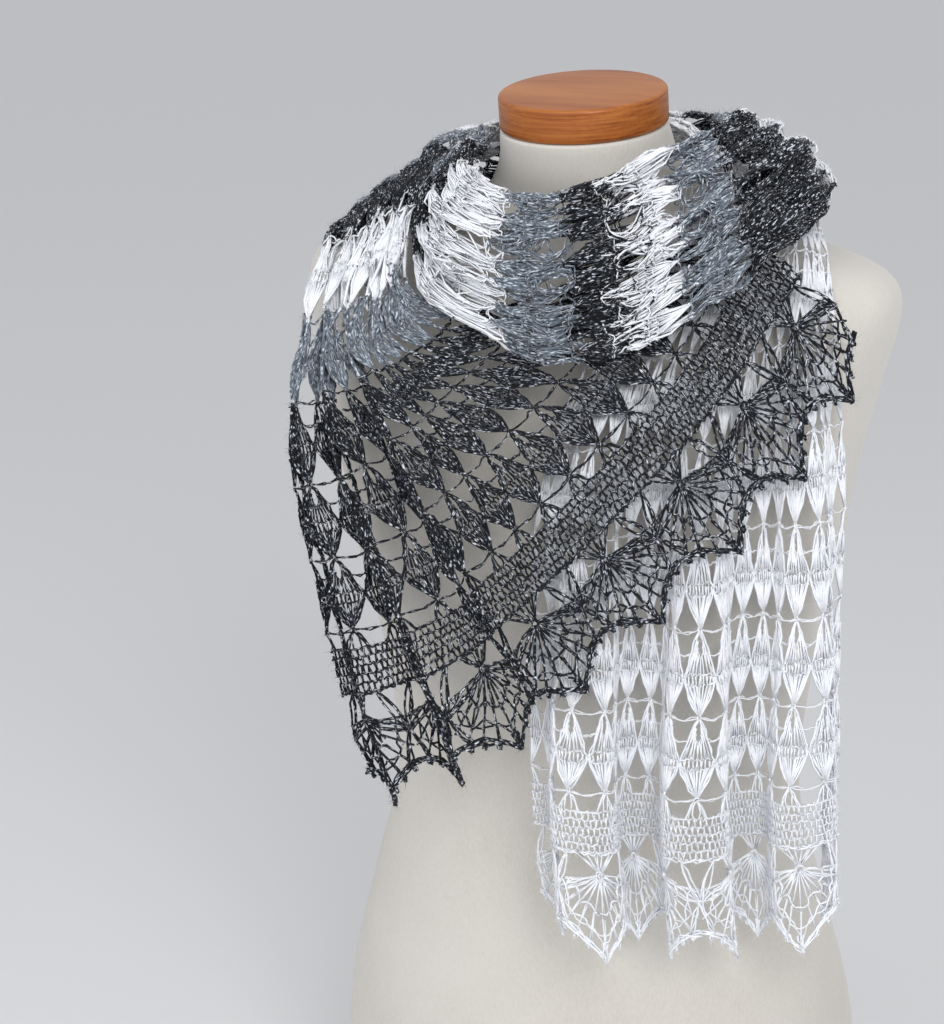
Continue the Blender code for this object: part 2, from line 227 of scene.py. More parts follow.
def hermite(knots, values, at):
    """Smooth curve through values at knots, read at the places in at."""
    knots = np.asarray(knots, float)
    values = np.asarray(values, float)
    at = np.asarray(at, float)
    slopes = np.empty_like(values)
    shape = (-1,) + (1,) * (values.ndim - 1)
    slopes[1:-1] = (values[2:] - values[:-2]) / (knots[2:] - knots[:-2]).reshape(shape)
    slopes[0] = (values[1] - values[0]) / (knots[1] - knots[0])
    slopes[-1] = (values[-1] - values[-2]) / (knots[-1] - knots[-2])
    i = np.clip(np.searchsorted(knots, at, side="right") - 1, 0, len(knots) - 2)
    width = (knots[i + 1] - knots[i]).reshape(shape)
    t = (at - knots[i]).reshape(shape) / width
    return (
        values[i] * (2 * t**3 - 3 * t**2 + 1)
        + slopes[i] * width * (t**3 - 2 * t**2 + t)
        + values[i + 1] * (3 * t**2 - 2 * t**3)
        + slopes[i + 1] * width * (t**3 - t**2)
    )


def finished(name, shape, *finishes):
    """The object of a piece, from its bmesh."""
    mesh = bpy.data.meshes.new(name)
    shape.to_mesh(mesh)
    shape.free()
    mesh.shade_smooth()
    for finish in finishes:
        mesh.materials.append(finish.material)
    piece = bpy.data.objects.new(name, mesh)
    bpy.context.scene.collection.objects.link(piece)
    return piece


rings = np.array(FORM_RINGS)
along_side = np.concatenate([[0], np.cumsum(np.hypot(np.diff(rings[:, 0]), np.diff(rings[:, 1])))])
torso_shape = bmesh.new()
bmesh.ops.create_grid(
    torso_shape, x_segments=TORSO_SIDES, y_segments=TORSO_LEVELS, size=0.5, calc_uvs=True
)
for vert in torso_shape.verts:
    turn = 2 * math.pi * (vert.co.x + 0.5)
    level = Ring(*hermite(along_side, rings, [(vert.co.y + 0.5) * along_side[-1]])[0])
    slope = math.tan(CAP_TILT) * min(1.0, max(0.0, (level.height - 0.715) / (NECK_HEIGHT - 0.715)))
    power = 2 / level.squareness
    x = level.half_width * math.copysign(abs(math.cos(turn)) ** power, math.cos(turn))
    y = level.half_depth * math.copysign(abs(math.sin(turn)) ** power, math.sin(turn))
    vert.co = (x, y - level.forward, level.height + slope * y)
bmesh.ops.remove_doubles(torso_shape, verts=torso_shape.verts, dist=0.00001)
open_edges = [edge for edge in torso_shape.edges if edge.is_boundary]
ends = bmesh.ops.edgeloop_fill(torso_shape, edges=open_edges)["faces"]
end_edges = [edge for face in ends for edge in face.edges]
bmesh.ops.bevel(
    torso_shape, geom=end_edges, offset=BASE_ROUND / 2, offset_type="OFFSET", segments=3, profile=0.5,
    affect="EDGES", material=-1,
)
bmesh.ops.recalc_face_normals(torso_shape, faces=torso_shape.faces)
jersey = Finish("cream_jersey", Roughness=0.92, Sheen_Weight=0.25, Sheen_Roughness=0.6)
jersey_place = jersey.place()
rib = jersey.noise(jersey.stretched(jersey_place, (1.0, 1.0, 0.3)), 900, 2)
nap = jersey.noise(jersey_place, 1500, 3)
mottle = jersey.noise(jersey_place, 9, 4)
jersey.set("Base Color", jersey.ramp(mottle * 0.6 + rib * 0.4, [
    (0.30, (0.535, 0.505, 0.455)), (0.50, (0.60, 0.572, 0.525)), (0.75, (0.655, 0.630, 0.585)),
]))
jersey.bump(rib * 0.7 + nap * 0.5, 0.35, 0.0004)
torso = finished("form_cover", torso_shape, jersey)
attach(torso, "root")
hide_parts("form_torso")

# Neck cap
# A turned disc of honey-brown wood, lacquered, its rim eased and its top slightly crowned. A screw up its middle
# holds it on the neck. The grain runs level round the rim and straight across the top.
CAP_SIDES = 128
CAP_EDGE = 0.0022
cap_shape = bmesh.new()
bmesh.ops.create_cone(
    cap_shape, cap_ends=True, segments=CAP_SIDES, radius1=CAP_RADIUS, radius2=CAP_RADIUS, depth=CAP_THICKNESS
)
rim_edges = [edge for edge in cap_shape.edges if abs(edge.verts[0].co.z - edge.verts[1].co.z) < 0.001]
bmesh.ops.bevel(
    cap_shape, geom=rim_edges, offset=CAP_EDGE, offset_type="OFFSET", segments=5, profile=0.5, affect="EDGES",
    material=-1,
)
top_face = max(cap_shape.faces, key=lambda face: face.calc_center_median().z)
for share, drop in ((0.35, 0.0001), (0.5, 0.0002)):
    bmesh.ops.inset_region(cap_shape, faces=[top_face], thickness=CAP_RADIUS * share, depth=drop, use_even_offset=True)
bmesh.ops.rotate(cap_shape, verts=cap_shape.verts, cent=(0, 0, 0), matrix=Matrix.Rotation(CAP_TILT, 3, "X"))
bmesh.ops.translate(cap_shape, verts=cap_shape.verts, vec=CAP_CENTRE)
wood = Finish("honey_wood", Roughness=0.42, Specular_IOR_Level=0.3, Coat_Weight=0.12, Coat_Roughness=0.2)
wood_place = wood.stretched(wood.place(), (1.0, 1.0, 1.0), (-CAP_TILT, 0.0, 0.0))
streak = wood.noise(wood.stretched(wood_place, (5.0, 48.0, 520.0)), 1.0, 6)
broad = wood.noise(wood.stretched(wood_place, (4.0, 34.0, 200.0)), 1.0, 3)
pores = wood.noise(wood.stretched(wood_place, (40.0, 500.0, 500.0)), 1.0, 2)
wood.set("Base Color", wood.ramp(streak * 0.60 + broad * 0.25 + pores * 0.15, [
    (0.34, (0.19, 0.044, 0.007)), (0.46, (0.34, 0.096, 0.016)), (0.56, (0.42, 0.138, 0.026)),
    (0.68, (0.51, 0.190, 0.042)),
]))
wood.bump(pores * 0.5 + streak * 0.5, 0.12, 0.0003)
cap = finished("wooden_neck_cap", cap_shape, wood)
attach(cap, "root")
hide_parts("form_neck_cap")

# How the shawl lies
# One rectangle of crochet, 580 mm by 2065 mm. Its white end hangs down the front, it goes twice round the neck,
# and its dark end is spread over the chest. Millimetres in the axes of a viewer who stands to the front left.
COLUMNS = 20
COLUMN = 29.0
ROW = 53.0
EDGING = 105.0
FANS = 8
LACE_ROWS = 35
EDGE_ROWS = EDGING / ROW
DARK_TIPS = LACE_ROWS + EDGE_ROWS
MM = 0.001
NEAR = 0.001
Line = namedtuple("Line", "lace_row neck_edge quarter middle three_quarters outer_edge")
PLACES = [
    # the white end, hanging down the front
    Line(-EDGE_ROWS, (-43, -160, 270), (8, -168, 265), (58, -172, 264), (106, -168, 269), (150, -154, 282)),
    Line(0.0, (-50, -162, 366), (0, -169, 363), (50, -173, 362), (100, -168, 365), (148, -153, 370)),
    Line(2.0, (-50, -164, 468), (0, -171, 465), (50, -174, 465), (100, -168, 468), (144, -150, 472)),
    Line(3.6, (-46, -162, 548), (2, -168, 550), (50, -171, 553), (97, -168, 558), (140, -154, 562)),
    Line(5.1, (-22, -143, 622), (18, -151, 628), (58, -154, 632), (96, -152, 635), (132, -142, 638)),
    Line(6.2, (26, -116, 676), (50, -120, 684), (76, -121, 688), (102, -119, 690), (128, -114, 690)),
    # over the shoulder and round the back of the neck
    Line(7.6, (50, -54, 737), (68, -56, 731), (86, -59, 724), (104, -62, 718), (122, -66, 712)),
    Line(8.9, (52, -2, 748), (67, 4, 739), (83, 8, 728), (101, 12, 717), (119, 16, 706)),
    Line(9.9, (34, 35, 754), (46, 44, 744), (56, 51, 728), (65, 59, 709), (74, 67, 689)),
    Line(11.1, (-8, 44, 757), (-8, 54, 745), (-8, 62, 726), (-8, 70, 702), (-8, 78, 678)),
    Line(12.2, (-48, 34, 756), (-58, 43, 746), (-68, 51, 732), (-78, 59, 715), (-87, 67, 696)),
    Line(13.0, (-69, 12, 750), (-80, 17, 743), (-90, 22, 733), (-100, 27, 721), (-110, 32, 710)),
    # across the front of the neck
    Line(13.8, (-76, -16, 742), (-88, -16, 736), (-99, -17, 726), (-108, -19, 714), (-115, -21, 703)),
    Line(15.5, (-80, -74, 732), (-95, -94, 720), (-104, -107, 701), (-104, -116, 682), (-98, -122, 663)),
    Line(16.5, (-52, -106, 722), (-56, -128, 709), (-57, -146, 687), (-55, -158, 662), (-50, -164, 638)),
    Line(17.5, (-9, -108, 730), (-7, -130, 718), (-5, -150, 696), (-4, -165, 668), (-2, -173, 642)),
    Line(18.5, (30, -94, 746), (33, -118, 736), (36, -140, 715), (38, -165, 688), (38, -179, 662)),
    Line(19.5, (60, -66, 754), (68, -90, 749), (74, -116, 735), (79, -148, 714), (82, -168, 690)),
    Line(20.5, (76, -26, 756), (92, -44, 754), (108, -64, 748), (119, -86, 734), (125, -106, 715)),
    # round the back of the neck again, outside the first turn
    Line(21.8, (78, 26, 752), (94, 18, 749), (108, 10, 742), (119, 2, 731), (127, -8, 717)),
    Line(23.2, (65, 58, 752), (77, 67, 742), (89, 74, 724), (99, 79, 701), (108, 83, 678)),
    Line(24.4, (32, 74, 752), (39, 86, 740), (46, 96, 718), (52, 104, 688), (58, 110, 659)),
    Line(25.6, (-10, 78, 750), (-13, 90, 738), (-16, 100, 714), (-19, 109, 681), (-22, 115, 649)),
    Line(26.8, (-56, 71, 746), (-68, 82, 732), (-80, 93, 709), (-91, 103, 683), (-100, 111, 656)),
    Line(27.9, (-89, 48, 742), (-105, 58, 728), (-120, 68, 713), (-135, 78, 698), (-150, 88, 685)),
    # over the other shoulder and spread down the front to the dark edging
    Line(29.0, (-104, 6, 732), (-120, 12, 721), (-137, 20, 709), (-153, 28, 695), (-168, 35, 681)),
    Line(30.0, (-122, -46, 702), (-132, -44, 695), (-147, -37, 686), (-164, -25, 676), (-180, -10, 666)),
    Line(31.0, (-122, -90, 666), (-132, -92, 650), (-146, -82, 640), (-168, -62, 629), (-191, -34, 618)),
    Line(32.0, (-76, -122, 658), (-102, -126, 636), (-130, -116, 615), (-164, -84, 588), (-200, -46, 566)),
    Line(33.0, (-14, -126, 680), (-60, -144, 638), (-108, -136, 588), (-150, -98, 542), (-195, -56, 519)),
    Line(34.0, (44, -123, 706), (-8, -158, 636), (-80, -156, 558), (-133, -118, 502), (-184, -66, 474)),
    Line(35.0, (86, -137, 697), (30, -175, 620), (-52, -174, 528), (-116, -138, 463), (-174, -80, 430)),
    Line(36.0, (124, -151, 670), (62, -186, 585), (-22, -190, 497), (-96, -150, 419), (-160, -95, 382)),
    Line(DARK_TIPS, (152, -154, 632), (94, -190, 550), (7, -198, 467), (-78, -156, 374), (-143, -108, 336)),
]
Folds = namedtuple("Folds", "count first_crest crowding overhang bulge depths")
HANGING_END = Folds(3, 1 / 6, 0.45, 0.28, 0.40, [
    (-2, 19), (0, 18), (1.5, 14), (3, 9), (5, 5), (6.6, 2), (7.4, 0),
])
NECK_WRAPS = Folds(4, 1 / 8, 0.30, 0.12, 0.20, [
    (7, 0), (7.6, 2), (8.9, 4), (13, 4), (13.8, 5), (15.5, 8),
    (20.5, 8), (21.8, 6), (27.9, 6), (29, 4), (31, 0),
])
SPREAD_END = Folds(6, 1 / 12, 0.30, 0.12, 0.20, [
    (29, 0), (30, 4), (31, 8), (32, 10), (35, 12), (37, 12),
])
SPREAD_FOLDS_FROM = (0.50, 0.72)
CALM_EDGE = 0.10

# Pleats of the wraps: at each of these lace rows, where the eight crests lie, as shares of the
# width. The cloth rolls over itself between them, as gathered lace does.
PLEAT_ROWS = [7, 9.5, 12, 14, 16, 18, 20, 22, 25, 28, 31]
PLEAT_CRESTS = [
    (0.07, 0.20, 0.32, 0.45, 0.57, 0.69, 0.82, 0.94),
    (0.05, 0.17, 0.31, 0.42, 0.56, 0.71, 0.83, 0.95),
    (0.08, 0.19, 0.29, 0.44, 0.59, 0.70, 0.80, 0.93),
    (0.06, 0.16, 0.30, 0.46, 0.56, 0.67, 0.82, 0.96),
    (0.05, 0.19, 0.33, 0.43, 0.55, 0.71, 0.84, 0.94),
    (0.08, 0.21, 0.31, 0.42, 0.58, 0.70, 0.80, 0.93),
    (0.06, 0.17, 0.30, 0.46, 0.60, 0.69, 0.81, 0.95),
    (0.07, 0.18, 0.33, 0.45, 0.55, 0.68, 0.84, 0.94),
    (0.05, 0.20, 0.31, 0.43, 0.57, 0.72, 0.83, 0.95),
    (0.08, 0.19, 0.30, 0.46, 0.58, 0.69, 0.82, 0.93),
    (0.07, 0.20, 0.33, 0.44, 0.56, 0.70, 0.83, 0.94),
]

# How high the pleats stand and how far they lean over, as pairs of a lace row and millimetres
PLEAT_HEIGHTS = [(7, 0), (8.5, 2.0), (12, 2.5), (14, 6.0), (20.5, 6.0), (22, 5.0), (29, 5.0), (30.5, 4.0), (32, 0)]
PLEAT_LEANS = [(7, 0), (8.5, 3.0), (12, 4.0), (14, 6.5), (20.5, 6.5), (22, 6.0), (29, 5.5), (30.5, 4.0), (32, 0)]

# Slacker places elsewhere. Each is a soft ridge along the cloth between two lace rows, from
# one share of the width to another, with its height in millimetres and its half-width as a share.
Slack = namedtuple("Slack", "first last start end height spread")
SLACK = [
    Slack(30.4, 33.6, 0.30, 0.44, 3.5, 0.050),
    Slack(30.2, 34.4, 0.58, 0.60, 3.4, 0.040),
    Slack(31.0, 35.2, 0.80, 0.74, 3.0, 0.040),
    Slack(30.6, 34.0, 0.92, 0.94, 2.6, 0.035),
    Slack(31.6, 34.8, 0.10, 0.24, 3.0, 0.060),
    Slack(0.4, 3.4, 0.05, 0.09, 2.2, 0.040),
    Slack(-1.4, 2.2, 0.46, 0.50, 2.6, 0.040),
    Slack(1.8, 5.6, 0.70, 0.62, 2.4, 0.040),
]
PLACE_ROWS = np.array([line[0] for line in PLACES])
PLACE_POINTS = np.array([line[1:] for line in PLACES]) * MM
TURNED = np.array(TO_FORM)

# The cloth is worked out once on a close net of places and read between them: shares of the width, and lace rows
NET_ACROSS = np.linspace(0.0, 1.0, 401)
NET_ROWS = np.linspace(-EDGE_ROWS, DARK_TIPS, 1401)


def unit(vectors):
    return vectors / np.linalg.norm(vectors, axis=-1, keepdims=True)


def rise(x, low, high):
    """0 below low and 1 above high, with a smooth rise between."""
    t = np.clip((x - low) / (high - low), 0, 1)
    return t * t * (3 - 2 * t)


def across_and_out(net):
    """Unit vectors across a net of points and out of its face."""
    over = unit(np.gradient(net, axis=1))
    along = unit(np.gradient(net, axis=0))
    return over, unit(np.cross(over, along))


def fold_steps(family, across, row):
    """How far one family of folds lifts the cloth off its plain surface, and how far it shifts it sideways."""
    marks, depths = zip(*family.depths)
    depth = np.interp(row, marks, depths) * MM
    if family is SPREAD_END:
        depth = depth * rise(across, *SPREAD_FOLDS_FROM)
    if family is not HANGING_END:
        depth = depth * rise(across, 0, CALM_EDGE) * rise(1 - across, 0, CALM_EDGE)
    turn = 2 * np.pi * family.count * (across - family.first_crest)
    turn = turn + family.crowding * np.sin(turn)
    return depth * np.cos(turn), depth * (family.overhang * np.sin(2 * turn) + family.bulge * np.sin(turn))


def slack_lift(ridge, across, row):
    t = (row - ridge.first) / (ridge.last - ridge.first)
    middle = ridge.start + (ridge.end - ridge.start) * t
    ends = rise(t, 0.0, 0.25) * rise(1 - t, 0.0, 0.25)
    return ridge.height * MM * ends * np.exp(-(((across - middle) / ridge.spread) ** 2))


lines_across = hermite(PLACE_ROWS, PLACE_POINTS, NET_ROWS)
shares = hermite(np.linspace(0.0, 1.0, 5), np.eye(5), NET_ACROSS)
plain = np.einsum("rjc,uj->ruc", lines_across, shares)
net_over, net_out = across_and_out(plain)
net_u = NET_ACROSS[None, :]
net_v = NET_ROWS[:, None]
lift = sum(slack_lift(ridge, net_u, net_v) for ridge in SLACK)
cloth = plain + net_out * lift[:, :, None]
for family in (HANGING_END, NECK_WRAPS, SPREAD_END):
    lift, shift = fold_steps(family, net_u, net_v)
    cloth = cloth + net_out * lift[:, :, None] + net_over * shift[:, :, None]
crests = hermite(np.array(PLEAT_ROWS), np.array(PLEAT_CRESTS), np.clip(NET_ROWS, PLEAT_ROWS[0], PLEAT_ROWS[-1]))
numbers = np.arange(crests.shape[1] + 2)
turn = 2 * np.pi * np.array([
    np.interp(NET_ACROSS, [-0.06, *line, 1.06], numbers) for line in crests
])
calm = rise(net_u, 0, 0.05) * rise(1 - net_u, 0, 0.05)
lift = np.interp(NET_ROWS, *zip(*PLEAT_HEIGHTS))[:, None] * MM * (1 + np.cos(turn)) / 2 * calm
lean = np.interp(NET_ROWS, *zip(*PLEAT_LEANS))[:, None] * MM * np.sin(turn) * calm
cloth = cloth + net_out * lift[:, :, None] + net_over * lean[:, :, None]
cloth_out = across_and_out(cloth)[1]

# The columns of the lace are spread evenly along each row of the pleated cloth, and less so where they bunch up
# behind the folds of the two ends: pairs of a lace row and a share
EVENNESS = [(-2, 0.6), (6, 0.6), (7.5, 1), (29, 1), (30.5, 0.8), (33, 0.35), (35, 0.15)]
steps = np.linalg.norm(np.diff(cloth, axis=1), axis=2)
gone = np.concatenate([np.zeros((len(NET_ROWS), 1)), np.cumsum(steps, axis=1)], axis=1)
even = np.array([np.interp(NET_ACROSS * line[-1], line, NET_ACROSS) for line in gone])
for smoothing in range(40):
    even[1:-1] = (even[:-2] + 2 * even[1:-1] + even[2:]) / 4
evenness = np.interp(NET_ROWS, *zip(*EVENNESS))[:, None]
even = NET_ACROSS + (even - NET_ACROSS) * evenness


def read(net, across, row):
    """Values of a net between its places."""
    if net.ndim == 2:
        net = net[:, :, None]
    x = np.clip(across, 0, 1) * (len(NET_ACROSS) - 1)
    y = np.clip((row - NET_ROWS[0]) / (NET_ROWS[-1] - NET_ROWS[0]), 0, 1) * (len(NET_ROWS) - 1)
    i = np.minimum(x.astype(int), len(NET_ACROSS) - 2)
    j = np.minimum(y.astype(int), len(NET_ROWS) - 2)
    x = (x - i)[..., None]
    y = (y - j)[..., None]
    near = net[j, i] * (1 - x) + net[j, i + 1] * x
    far = net[j + 1, i] * (1 - x) + net[j + 1, i + 1] * x
    return near * (1 - y) + far * y


# Yarn
# Three colours of soft mohair and silk yarn, each spun with a few lighter fibres that catch the light: white, a
# blue grey and a near black. A stitch is one or two lengths of yarn, each closed at its ends, with a thin fuzz.
WHITE, GREY, BLACK = range(3)
FIRST_MIXED_ROW = 10
FIRST_DARK_ROW = 32
SIDES = 3
FIBRE = 0.00009
dice = np.random.default_rng(11)


def yarn(name, stops, sheen):
    made = Finish(name, Roughness=0.9, Specular_IOR_Level=0.2, Sheen_Weight=sheen, Sheen_Roughness=0.6)
    run = made.add("ShaderNodeUVMap", {"uv_map": "yarn"}).out("UV")
    fleck = made.noise(made.stretched(run, (300.0, 1.8, 1.0)), 1.0, 1)
    twist = made.noise(made.stretched(run, (1800.0, 4.0, 1.0)), 1.0, 2)
    made.set("Base Color", made.ramp(fleck, stops))
    made.bump(twist, 0.5, 0.0003)
    return made


white_yarn = yarn("white_yarn", [
    (0.30, (0.80, 0.83, 0.90)), (0.50, (0.89, 0.91, 0.95)), (0.70, (0.96, 0.97, 0.98)),
], 0.2)
grey_yarn = yarn("grey_yarn", [
    (0.38, (0.060, 0.078, 0.110)), (0.50, (0.150, 0.182, 0.230)), (0.58, (0.330, 0.380, 0.440)),
    (0.66, (0.680, 0.730, 0.780)),
], 0.3)
black_yarn = yarn("black_yarn", [
    (0.46, (0.004, 0.005, 0.008)), (0.54, (0.012, 0.014, 0.022)), (0.60, (0.130, 0.148, 0.180)),
    (0.66, (0.700, 0.730, 0.780)),
], 0.06)
YARNS = (white_yarn, grey_yarn, black_yarn)


def row_colour(row):
    """Colour of a lace row: white, then stripes of white, grey and black in turn, then black."""
    row = np.asarray(row)
    return np.where(row < FIRST_MIXED_ROW, WHITE, np.where(row >= FIRST_DARK_ROW, BLACK, row % 3))


Length = namedtuple("Length", "path radius part")
HEART_PART, STEM_PART = range(2)


def post(start, end, radius, part=HEART_PART, plies=2, splay=0.5, count=2):
    """A treble post: one length of yarn, or two that cross each other."""
    (x0, y0), (x1, y1) = start, end
    if plies == 1:
        t = np.linspace(0, 1, count)
        return [Length(np.column_stack([x0 + (x1 - x0) * t, y0 + (y1 - y0) * t, 0 * t]), radius * 1.25, part)]
    return [
        Length(np.array([(x0 - splay, y0, 0.3), (x1 + splay, y1, -0.1)]), radius, part),
        Length(np.array([(x0 + splay, y0, -0.3), (x1 - splay, y1, 0.1)]), radius, part),
    ]


def bowed(start, end, bow, count, radius, part=HEART_PART, lift=0.0):
    """One length of yarn from start to end, bowed sideways by so many millimetres."""
    start = np.array(start, float)
    end = np.array(end, float)
    t = np.linspace(0, 1, count)[:, None]
    aside = np.array([-(end - start)[1], (end - start)[0]])
    aside = aside / np.linalg.norm(aside)
    flat = start + (end - start) * t + aside * bow * 4 * t * (1 - t)
    return Length(np.column_stack([flat, np.full(count, lift)]), radius, part)


def flowing(points, count, radius, part=HEART_PART, lift=0.0):
    """One length of yarn that runs smoothly through a few places."""
    points = np.array(points, float)
    knots = np.concatenate([[0], np.cumsum(np.linalg.norm(np.diff(points, axis=0), axis=1))])
    flat = hermite(knots, points, np.linspace(0, knots[-1], count))
    return Length(np.column_stack([flat, np.full(count, lift)]), radius, part)


def wavy(start, end, teeth, height, radius, part=HEART_PART, lift=0.0):
    """A row line: the tops of the stitches below it, zigzag."""
    t = np.linspace(0, 1, 2 * teeth + 1)
    flat = np.array(start) + (np.array(end) - np.array(start)) * t[:, None]
    flat[:, 1] += height * np.cos(np.pi * np.arange(len(t)))
    high = lift + 0.3 * np.sin(np.pi * np.arange(len(t)) / 2)
    return Length(np.column_stack([flat, high]), radius, part)


def loop(centre, across, down, count, radius, part=HEART_PART, lift=0.0):
    turn = np.linspace(0, 2 * np.pi, count)
    x = centre[0] + across * np.sin(turn)
    y = centre[1] + down * np.cos(turn)
    return Length(np.column_stack([x, y, np.full(count, lift)]), radius, part)


def through(points, teeth, height, radius, part=HEART_PART, lift=0.0):
    """A row line that zigzags along a curve through a few places."""
    base = flowing(points, 2 * teeth + 1, radius, part, lift).path
    step = np.arange(2 * teeth + 1)
    base[:, 1] += height * np.cos(np.pi * step)
    base[:, 2] += 0.3 * np.sin(np.pi * step / 2)
    return Length(base, radius, part)


def heart_stitches(posts, plies, teeth, thick=1.0, count=2):
    """One heart of the lace, round its own axis, in millimetres across and towards the nearer end."""
    made = []
    thin = 0.52 * thick
    # the fan opens from a tall eyelet to the first row line, where it meets its neighbours
    for side in (-1, 1):
        for start, end in (((2.6, -7.0), (10.2, 13.4)), ((2.7, -3.0), (6.8, 13.2)), ((1.8, 1.2), (3.4, 13.6))):
            begin = (side * start[0], start[1])
            made += post(begin, (side * end[0], end[1]), thin, plies=plies, splay=0.6, count=count)
    made += post((0, 3.6), (0, 13.8), thin, plies=plies, count=count)
    made.append(through([(-14.5, 15.6), (-8, 13.2), (0, 13.8), (8, 13.2), (14.5, 15.6)], teeth, 0.8, 0.60 * thick))
    # short posts, and the second row line
    for x in np.linspace(-13.2, 13.2, posts):
        made += post((x, 13.8 + abs(x) * 0.1), (x * 0.94, 20.2), thin, plies=plies, splay=0.55)
    made.append(through([(-12.9, 19.4), (-6, 20.6), (0, 20.2), (6, 20.6), (12.9, 19.4)], teeth, 0.7, 0.58 * thick))
    # posts that close in on the heart's point
    for x in np.linspace(-11.6, 11.6, posts):
        made += post((x, 20.2), (x * 0.06, 38.0), thin * 1.12, plies=plies, splay=0.35, count=count)
    for side in (-1, 1):
        edge = [(side * 14.4, 16.4), (side * 11.8, 23.0), (side * 6.6, 31.4), (side * 1.0, 38.4)]
        made.append(flowing(edge, 5, 0.68 * thick, lift=0.3))
        if plies == 2:
            made.append(flowing([(x - side * 1.0, y - 0.4) for x, y in edge], 5, 0.55 * thick, lift=-0.3))
    made.append(loop((0, 39.6), 1.3, 1.5, 6, 0.62 * thick, lift=0.5))
    made.append(loop((14.5, 16.0), 1.2, 1.5, 5, 0.60 * thick, lift=0.3))
    # two chains across the gap to the next heart
    for start, sag, lift in ((39.8, 1.7, 0.3), (54.0, 1.4, -0.2)):
        inset = 0.8 if start < 45 else 6.6
        for ply in ((0.35, -0.35) if plies == 2 else (0.0,)):
            chain = [(inset, start + ply), (9.4, start + sag + ply), (14.5, start + 1.2 * sag - ply),
                     (29 - inset, start + ply)]
            size = (0.44 if plies == 2 else 0.58) * thick
            made.append(flowing(chain, 6, size, STEM_PART, lift + ply))
    # from the point, the outer sides of the next fan, and the outline of its tall eyelet
    for side in (-1, 1):
        stem = [(0.5, 40.6), (3.4, 43.8), (6.2, 49.0), (9.2, 57.0), (12.0, 64.0), (14.5, 68.6)]
        made.append(flowing([(side * x, y) for x, y in stem], 8, 0.62 * thick, STEM_PART, 0.35))
        if plies == 2:
            made.append(flowing([(side * (x - 1.0), y + 0.3) for x, y in stem], 8, 0.50 * thick, STEM_PART, -0.3))
        eyelet = [(side * 0.4, 41.0), (side * 2.2, 44.4), (side * 2.8, 49.0), (side * 2.0, 54.0), (0, 57.0)]
        made.append(flowing(eyelet, 5, 0.54 * thick, STEM_PART, 0.1))
    return made


Strands = namedtuple("Strands", "across row lift radius colour")


def jittered(path, many, wobble):
    """Many copies of a path, each point moved a little by chance, so that no two stitches are the same."""
    copies = np.repeat(path[None], many, axis=0)
    return copies + dice.normal(0, wobble, copies.shape) * (1.0, 1.0, 0.8)


def hearts(rows, toward, stitches, wobble=0.45, drawn_up=None, last=None):
    """Rows of hearts across the whole width. Their points face the nearer end, and nothing passes the last row."""
    axes, numbers = np.meshgrid(np.arange(COLUMNS + 1), rows)
    axes = axes.ravel()
    numbers = numbers.ravel()
    laid = []
    for length in stitches:
        path = jittered(length.path, len(axes), wobble)
        across = (axes[:, None] + path[:, :, 0] / COLUMN) / COLUMNS
        inside = (across.mean(axis=1) > -0.001) & (across.mean(axis=1) < 1.001)
        across = np.clip(across[inside], 0, 1)
        down = path[inside, :, 1] / ROW
        row = numbers[inside, None] + (down if toward > 0 else 1 - down)
        if last is not None:
            row = np.clip(row, 0, last)
        lift = path[inside, :, 2] * MM
        if drawn_up is not None:
            across, row, lift = drawn_up(across, row, lift)
        colour = row_colour(numbers[inside] + (toward if length.part == STEM_PART else 0))
        laid.append(Strands(across, row, lift, np.full(len(across), length.radius * MM), colour))
    return laid


def chosen(laid, first, last):
    """The strands whose middle lies between two lace rows."""
    kept = []
    for group in laid:
        middle = group.row.mean(axis=1)
        inside = (middle >= first) & (middle < last)
        if inside.any():
            kept.append(Strands(*[field[inside] for field in group]))
    return kept


